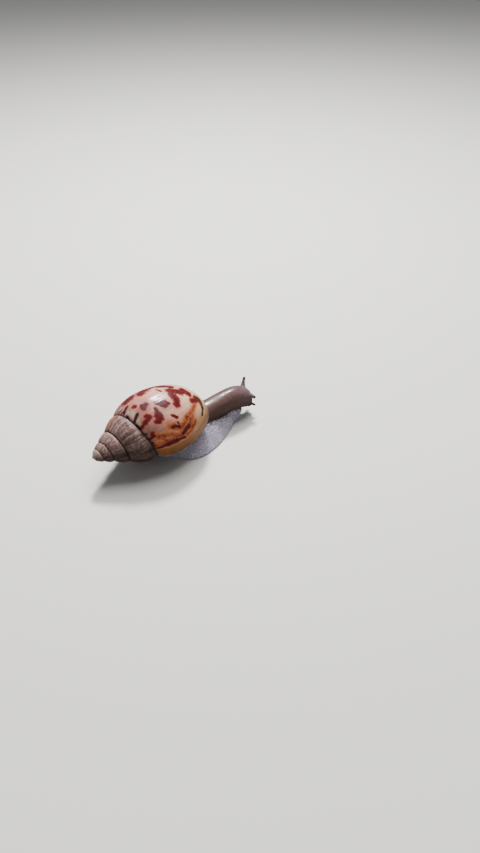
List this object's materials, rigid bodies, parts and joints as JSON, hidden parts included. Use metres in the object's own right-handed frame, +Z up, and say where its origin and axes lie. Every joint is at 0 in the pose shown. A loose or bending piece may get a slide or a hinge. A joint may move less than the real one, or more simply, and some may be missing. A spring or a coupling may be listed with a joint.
{
  "type": "giant African land snail",
  "caption": "Life-size young giant land snail crawling with its neck stretched out, a tall conical coiled shell on a broad flat foot.",
  "frame": {"origin": "bottom centre of the whole animal's bounding box, on the plane of the sole", "axes": "+X ahead, +Y to the animal's left, +Z up"},
  "size_m": [0.0601, 0.022, 0.0238],
  "materials": {
    "shell": "glossy calcareous shell, cream with dark red-brown blots, worn taupe spire",
    "mantle": "wet soft tissue, fine grained",
    "foot": "wet tuberculate skin, grey-mauve with browner neck and head",
    "eye": "wet black"
  },
  "bodies": {
    "root": {"shell": "shell", "mantle_collar": "mantle", "tail": "foot", "foot_middle": "foot", "foot_front": "foot", "neck": "foot", "head": "foot", "mouth": "foot", "upper_feeler_left": "foot", "upper_feeler_right": "foot", "lower_feeler_left": "foot", "lower_feeler_right": "foot", "eye_left": "eye", "eye_right": "eye"}
  },
  "joints": []
}
